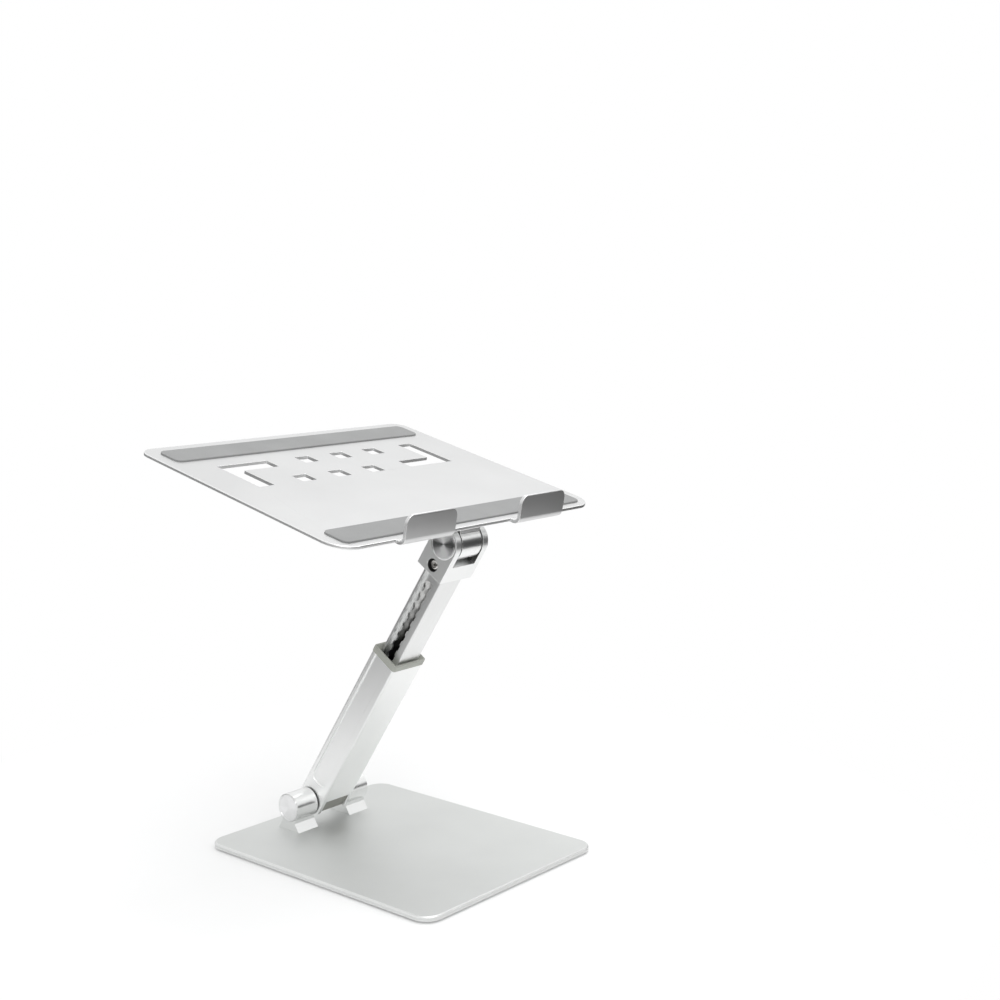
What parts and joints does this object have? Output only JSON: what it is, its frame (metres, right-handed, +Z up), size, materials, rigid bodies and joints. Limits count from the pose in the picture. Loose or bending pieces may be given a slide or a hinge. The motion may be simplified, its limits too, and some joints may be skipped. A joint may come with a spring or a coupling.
{
  "type": "laptop stand",
  "caption": "Fold-flat laptop stand: flat base plate, hinged telescopic column with push-button lock, and a tilting perforated tray with silicone pads and front lips.",
  "frame": {"origin": "on the desk surface, under the middle of the base plate", "axes": "+Z up, +X to the user's right, +Y away from the user, from the front edge of the base to its hinge"},
  "size_m": [0.262, 0.2364, 0.298],
  "materials": {
    "anodised_base": "bead-blasted silver anodised",
    "anodised_column": "bead-blasted silver anodised",
    "anodised_knuckle": "turned and anodised",
    "anodised_inner": "extruded and anodised",
    "anodised_head": "bead-blasted silver anodised",
    "anodised_bracket": "bead-blasted silver anodised",
    "anodised_tray": "bead-blasted silver anodised with bright cut edges",
    "turned_caps": "spun concentric turning marks",
    "button_metal": "dished bright metal",
    "axle_steel": "ground",
    "screw_steel": "zinc plated",
    "spring_steel": "spring steel",
    "black_screws": "black oxide",
    "dark_washers": "dark friction washer",
    "silicone_feet": "soft silicone",
    "silicone_pads": "soft silicone with a fine matt texture",
    "collar_plastic": "satin moulded",
    "grey_plastic": "satin moulded",
    "shoe_plastic": "low-friction moulded"
  },
  "bodies": {
    "base": {"base_plate": "anodised_base", "base_feet": "silicone_feet", "base_screws": "screw_steel", "hinge_ear_left": "anodised_column", "hinge_ear_right": "anodised_column", "lower_axle": "axle_steel", "lower_friction_washers": "dark_washers", "lower_disc_springs": "spring_steel", "lower_lock_nuts": "screw_steel", "lower_cap_left": "turned_caps", "lower_cap_right": "turned_caps"},
    "outer_column_body": {"outer_column": "anodised_column", "column_knuckle": "anodised_knuckle", "knuckle_screws": "screw_steel", "notch_insert": "grey_plastic", "collar": "collar_plastic", "button_spring": "spring_steel"},
    "button": {"release_button": "button_metal", "lock_pin": "axle_steel"},
    "inner_column_body": {"inner_column": "anodised_inner", "slide_shoe": "shoe_plastic", "head_fork": "anodised_head", "head_screws": "black_screws", "head_axle": "axle_steel", "head_friction_washers": "dark_washers", "head_cap_left": "turned_caps", "head_cap_right": "turned_caps"},
    "tray": {"tray_bracket": "anodised_bracket", "tray_plate": "anodised_tray", "tray_screws": "screw_steel", "front_pad": "silicone_pads", "rear_pad": "silicone_pads"}
  },
  "joints": [
    {"name": "column_fold", "type": "hinge", "parent": "base", "child": "outer_column_body", "pos_m": [0, 0.082, 0.0226], "axis": [1, 0, 0], "range_deg": [-30, 53.7]},
    {"name": "column_slide", "type": "slide", "parent": "outer_column_body", "child": "inner_column_body", "axis": [0, -0.549, 0.8358], "range_m": [-0.076, 0]},
    {"name": "tray_tilt", "type": "hinge", "parent": "inner_column_body", "child": "tray", "pos_m": [0, -0.05855, 0.23657], "axis": [1, 0, 0], "range_deg": [-69.9, 25]},
    {"name": "button_press", "type": "slide", "parent": "outer_column_body", "child": "button", "axis": [1, 0, 0], "range_m": [-0.0022, 0], "stiffness_N_per_m": 2000, "springref_m": 0.001}
  ]
}
